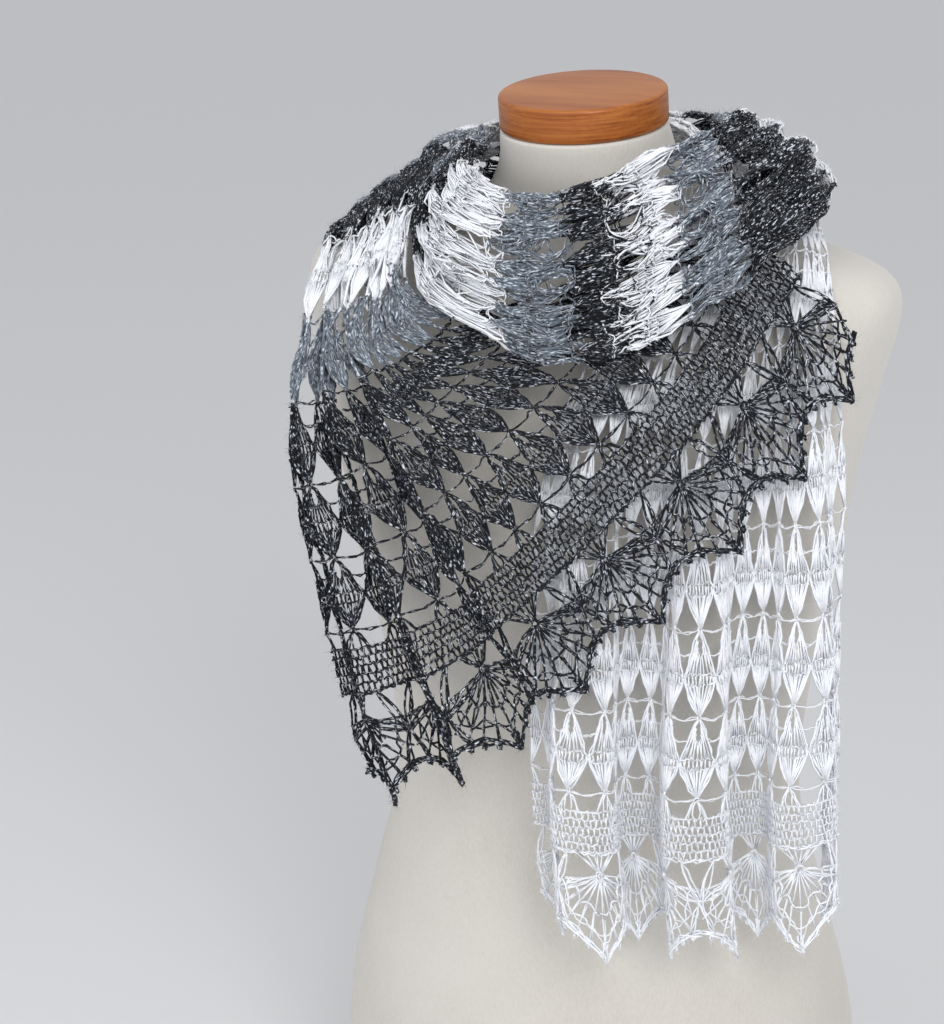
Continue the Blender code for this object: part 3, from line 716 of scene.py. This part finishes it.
def crochet(name, laid, fuzz):
    """One stretch of the shawl: lengths of yarn as thin closed tubes that lie along the cloth, with a fuzz of so
    many single fibres."""
    vertices, quads, tris, quad_uv, quad_tint, tri_tint, roots = [], [], [], [], [], [], []
    base = 0
    ring = np.radians(90 + 360 * np.arange(SIDES) / SIDES)
    around = np.arange(SIDES)
    for group in laid:
        many, count = group.across.shape
        across = read(even, group.across, group.row)[:, :, 0]
        out = unit(read(cloth_out, across, group.row))
        points = read(cloth, across, group.row) + out * group.lift[:, :, None]
        heading = unit(np.gradient(points, axis=1) + 1e-9)
        side = unit(np.cross(heading, out) + 1e-9)
        up = np.cross(side, heading)
        size = group.radius[:, None, None]
        tube = np.stack([points + size * (math.cos(a) * side + math.sin(a) * up) for a in ring], axis=2)
        vertices.append(tube.reshape(-1, 3))
        first = base + np.arange(many)[:, None] * count * SIDES
        place = first[:, :, None] + (np.arange(count - 1) * SIDES)[None, :, None]
        j = around[None, None, :]
        k = (around + 1)[None, None, :] % SIDES
        faces = np.stack([place + j, place + SIDES + j, place + SIDES + k, place + k], axis=-1)
        quads.append(faces.reshape(-1, 4))
        tris += [first + around[None], first + (count - 1) * SIDES + around[None, ::-1]]
        steps = np.cumsum(np.linalg.norm(np.diff(points, axis=1), axis=2), axis=1)
        gone = np.concatenate([np.zeros((many, 1)), steps], axis=1) + dice.uniform(0, 40, (many, 1))
        near = np.repeat(gone[:, :-1, None], SIDES, axis=2)
        far = np.repeat(gone[:, 1:, None], SIDES, axis=2)
        low = np.broadcast_to(around / SIDES, near.shape)
        high = low + 1 / SIDES
        corners = [(near, low), (far, low), (far, high), (near, high)]
        quad_uv.append(np.stack([np.stack(corner, -1) for corner in corners], axis=3).reshape(-1, 2))
        quad_tint.append(np.repeat(group.colour, (count - 1) * SIDES))
        tri_tint += [group.colour, group.colour]
        tints = np.broadcast_to(group.colour[:, None], (many, count))
        roots.append(np.column_stack([points.reshape(-1, 3), heading.reshape(-1, 3), out.reshape(-1, 3), tints.ravel()]))
        base += many * count * SIDES
    # single fibres, each a thin sliver that stands off the yarn at a low angle
    roots = np.concatenate(roots)
    picked = roots[dice.integers(0, len(roots), fuzz)]
    way = unit(picked[:, 3:6] * dice.normal(0, 1.0, (fuzz, 1)) + dice.normal(0, 0.6, (fuzz, 3)) + picked[:, 6:9] * 0.3)
    side = unit(np.cross(way, picked[:, 6:9]) + 1e-9)
    up = np.cross(side, way)
    foot = picked[:, :3] + dice.normal(0, 0.0003, (fuzz, 3))
    blade = [foot + FIBRE * (math.cos(a) * side + math.sin(a) * up) for a in ring]
    blade.append(foot + way * dice.uniform(0.0025, 0.0075, (fuzz, 1)))
    vertices.append(np.stack(blade, axis=1).reshape(-1, 3))
    root = base + np.arange(fuzz)[:, None] * (SIDES + 1)
    tris.append(root + around[None])
    for j in range(SIDES):
        tris.append(root + np.array([[j, SIDES, (j + 1) % SIDES]]))
    tri_tint += [picked[:, 9]] * (SIDES + 1)
    vertices = np.concatenate(vertices) @ TURNED.T
    quads = np.concatenate(quads)
    tris = np.concatenate(tris)
    mesh = bpy.data.meshes.new(name)
    mesh.vertices.add(len(vertices))
    mesh.vertices.foreach_set("co", vertices.ravel())
    mesh.loops.add(quads.size + tris.size)
    mesh.loops.foreach_set("vertex_index", np.concatenate([quads.ravel(), tris.ravel()]))
    mesh.polygons.add(len(quads) + len(tris))
    starts = np.concatenate([np.arange(len(quads)) * 4, quads.size + np.arange(len(tris)) * SIDES])
    mesh.polygons.foreach_set("loop_start", starts)
    for finish in YARNS:
        mesh.materials.append(finish.material)
    mesh.polygons.foreach_set("material_index", np.concatenate(quad_tint + tri_tint).astype(np.int32))
    mesh.update(calc_edges=True)
    run = mesh.uv_layers.new(name="yarn")
    tri_uv = np.repeat(dice.uniform(0, 40, (len(tris), 2)), SIDES, axis=0)
    run.data.foreach_set("uv", np.concatenate([np.concatenate(quad_uv), tri_uv]).ravel())
    mesh.validate()
    mesh.shade_smooth()
    piece = bpy.data.objects.new(name, mesh)
    bpy.context.scene.collection.objects.link(piece)
    print("crochet", name, len(quads) * 2 + len(tris))
    return piece


def dressed(piece, node):
    """Everything the frame needs to know of one stretch of the shawl."""
    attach(piece, "root")
    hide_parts(node)


# White end
# The hanging end of the shawl, seven rows of hearts in white. It is one piece with the wraps above it and the
# edging below it, and hangs in three soft folds.
WHITE_END = 7
white_heart = heart_stitches(9, 2, 7, 1.22)
white_end = crochet("white_end_lace", hearts(range(0, WHITE_END), -1, white_heart, last=LACE_ROWS), 10000)
dressed(white_end, "white_end")

# Neck wraps
# The middle of the shawl goes twice round the neck, gathered to a thick collar. Its rows change colour in turn,
# white, grey and black. Rows are drawn together or apart where the photograph shows them so.
FIRST_TURN = 13.5
FRONT_BAND = 20.5
SECOND_TURN = 30
TURNS_ROUND = 18
KNITTED_ROWS = [7, 12, 14, 15, 16, 17, 18, 19, 20, 21, 22, 40]
LYING_ROWS = [7, 12, 13.8, 14.6, 16.1, 16.85, 17.7, 18.8, 19.5, 21.0, 22.0, 40]


PETALS = 5
PETAL_LIFT = 2.5
PETAL_AMOUNTS = [(7, 0.3), (12.5, 0.4), (14, 1.0), (20, 1.0), (22, 0.6), (28.5, 0.6), (30, 1.5), (31, 1.1), (32, 0)]
petal_shift = dice.uniform(-0.035, 0.035, (LACE_ROWS, PETALS))
ragged = dice.uniform(-0.13, 0.13, (LACE_ROWS, COLUMNS + 1))


def drawn_up(across, row, lift):
    """The rows of the wraps, pinched together into petals at the row lines and puffed out between them."""
    amount = np.interp(row, *zip(*PETAL_AMOUNTS))
    petal = np.clip((across * PETALS).astype(int), 0, PETALS - 1)
    line = np.clip(np.round(row).astype(int), 0, LACE_ROWS - 1)
    middle = (petal + 0.5) / PETALS + petal_shift[line, petal]
    pinch = np.cos(np.pi * row) ** 4
    column = np.clip(np.round(across * COLUMNS).astype(int), 0, COLUMNS)
    row = row + amount * ragged[line, column]
    offset = np.clip(np.abs(across - (petal + 0.5) / PETALS) * 2 * PETALS, 0, 1)
    puff = PETAL_LIFT * MM * amount * np.sin(np.pi * row) ** 2 * (1 - offset**2)
    across = across + (middle - across) * 0.3 * amount * pinch
    return across, np.interp(row, KNITTED_ROWS, LYING_ROWS), lift + puff


full_heart = heart_stitches(7, 1, 6, 1.0, 3)
light_heart = heart_stitches(7, 1, 5, 1.05)
under_heart = heart_stitches(4, 1, 3, 1.1)
stem_stitches = [length for length in full_heart if length.part == STEM_PART]
front_strands = hearts(range(12, TURNS_ROUND), -1, full_heart, 0.7, drawn_up)
front_strands += hearts(range(TURNS_ROUND, 22), 1, full_heart, 0.7, drawn_up)
front_strands += hearts([TURNS_ROUND], -1, stem_stitches, 0.7, drawn_up)
front_strands += hearts([TURNS_ROUND - 1], 1, stem_stitches, 0.7, drawn_up)
under_strands = hearts(range(12, TURNS_ROUND), -1, under_heart, 0.9, drawn_up)
under_strands += hearts(range(TURNS_ROUND, 22), 1, under_heart, 0.9, drawn_up)
front_strands += [under._replace(across=1 - under.across, lift=under.lift - 0.0022) for under in under_strands]
hidden_strands = hearts(range(WHITE_END, 15), -1, light_heart, 0.5, drawn_up)
back_strands = hearts(range(19, SECOND_TURN), 1, light_heart, 0.5, drawn_up)
inner_wrap = crochet("inner_wrap_lace", chosen(hidden_strands, 0, FIRST_TURN), 2000)
dressed(inner_wrap, "inner_wrap")
front_band = crochet("front_band_lace", chosen(front_strands, FIRST_TURN, FRONT_BAND), 3000)
dressed(front_band, "front_band")
outer_wrap = crochet("outer_wrap_lace", chosen(back_strands, FRONT_BAND, 40), 11000)
dressed(outer_wrap, "outer_wrap")

# Dark panel
# The other end of the shawl, spread down the chest. Five rows of hearts, the last of them black, drawn down by
# the heavy edging, with small folds at the outer side.
dark_heart = heart_stitches(9, 2, 7, 1.35)
dark_panel = crochet("dark_panel_lace", hearts(range(SECOND_TURN, LACE_ROWS), 1, dark_heart, drawn_up=drawn_up, last=LACE_ROWS), 10000)
dressed(dark_panel, "dark_panel")

# Scalloped edgings
# Both ends finish in a close mesh band and eight big fans, worked on to the last row of hearts. Each fan spreads
# from a round eyelet to a hollow edge with small picots, which comes to a sharp tip at the fan's middle.
FAN = COLUMNS * COLUMN / FANS
BAND = 28.0
HUB = (0.0, 44.0)
NODE_DEPTH = 58.0
VALLEY = 81.0


def fan_edge(x):
    """How far down the hollow edge lies, so many millimetres from the fan's middle."""
    share = np.clip(1 - np.abs(x) / (FAN / 2), 0, 1)
    return VALLEY + (EDGING - VALLEY) * share**1.8


def fan_stitches(thick):
    """One fan of the edging, round its own middle, in millimetres across and towards its tip."""
    made = []
    half = FAN / 2
    thin = 0.50 * thick
    lines = np.linspace(0, BAND, 6)
    for i, (top, foot) in enumerate(zip(lines, lines[1:])):
        made.append(wavy((-half, top), (half, top), 14, 0.6, 0.55 * thick))
        for x in np.linspace(-half, half, 17, endpoint=False) + (1.1 if i % 2 else 3.2):
            made += post((x, top), (x + 0.2, foot), thin, splay=0.45)
    for shift in (0.0, 0.9):
        made.append(wavy((-half, BAND + shift), (half, BAND + shift), 14, 0.6, 0.62 * thick, lift=shift))
    # the hub's eyelet, and the posts that spread from it
    for size in (2.0, 3.0):
        made.append(loop(HUB, size, size, 9, 0.6 * thick, lift=0.3))
    angles = np.radians(np.linspace(-80, 80, 13))
    ends = []
    for angle in angles:
        way = np.array([math.sin(angle), math.cos(angle)])
        steps = np.linspace(4, 70, 200)
        x = HUB[0] + way[0] * steps
        y = HUB[1] + way[1] * steps
        stop = steps[np.argmax((y > fan_edge(x) - 2.0) | (np.abs(x) > half - 1.5))]
        ends.append((way, stop))
        start = np.array(HUB) + way * 3.0
        end = np.array(HUB) + way * stop
        made += post(start, (start + end) / 2, thin, splay=0.5)
        made += post((start + end) / 2, end, thin, splay=0.7)
    for share, size, deep in ((0.50, 0.62, 2.0), (0.76, 0.58, 1.8), (0.80, 0.5, -1.8), (0.97, 0.6, 1.0)):
        ring = []
        for i, (way, stop) in enumerate(ends):
            zigzag = deep if i % 2 else -deep
            ring.append(tuple(np.array(HUB) + way * (stop * share + zigzag)))
        made.append(flowing(ring, 27, size * thick, lift=0.2))
    # posts from the band's foot into the top of the hub, and the lenses beside it
    for x in (-15, -9, -3, 3, 9, 15):
        made += post((x, BAND + 0.8), (x * 0.15, HUB[1] - 3.0), thin, splay=0.5)
    for side in (-1, 1):
        node = (side * half, NODE_DEPTH)
        for bulge in (2.6, -2.6, 1.6):
            made.append(bowed((side * 3.2, 44), node, bulge, 5, 0.58 * thick, lift=0.2))
            made.append(bowed((side * 24, BAND + 0.8), node, bulge, 5, 0.58 * thick))
        made.append(bowed(node, (side * (half - 9), 80), 1.2, 4, 0.62 * thick))
        made.append(bowed(node, (side * (half - 9), 80), -1.0, 4, 0.55 * thick))
        made.append(loop(node, 1.7, 1.7, 7, 0.6 * thick))
    # the thick hollow edge, its picots and the sharp tip
    for side in (-1, 1):
        places = np.linspace(half, 0, 9)
        for step, lift in ((0.0, 0.5), (-1.2, -0.4), (-2.3, 0.1)):
            edge = [(side * x, fan_edge(x) + step) for x in places]
            made.append(flowing(edge, 10, 0.72 * thick, lift=lift))
        for x in (30, 21, 12.5):
            made.append(loop((side * x, fan_edge(x) + 1.6), 1.3, 1.9, 7, 0.66 * thick, lift=0.2))
            made.append(loop((side * x, fan_edge(x) + 0.8), 1.7, 0.8, 6, 0.6 * thick, lift=-0.2))
    made.append(loop((0, EDGING - 2.0), 1.3, 2.0, 8, 0.8 * thick, lift=0.2))
    for lean in (-2.2, 0.0, 2.2):
        made.append(flowing([(lean, EDGING - 13), (lean * 0.4, EDGING - 6), (0, EDGING - 0.6)], 5, 0.8 * thick))
    return made


def fans(start, toward, colour, thick, wobble=0.5):
    middles = (np.arange(FANS) + 0.5) / FANS
    laid = []
    for length in fan_stitches(thick):
        path = jittered(length.path, FANS, wobble)
        across = np.clip(middles[:, None] + path[:, :, 0] / (COLUMNS * COLUMN), 0, 1)
        row = start + toward * path[:, :, 1] / ROW
        laid.append(Strands(
            across, row, path[:, :, 2] * MM, np.full(FANS, length.radius * MM), np.full(FANS, colour),
        ))
    return laid


white_edging = crochet("white_edging_fans", fans(0, -1, WHITE, 1.25), 8000)
dressed(white_edging, "white_edging")
dark_edging = crochet("dark_edging_fans", fans(LACE_ROWS, 1, BLACK, 1.55), 8000)
dressed(dark_edging, "dark_edging")
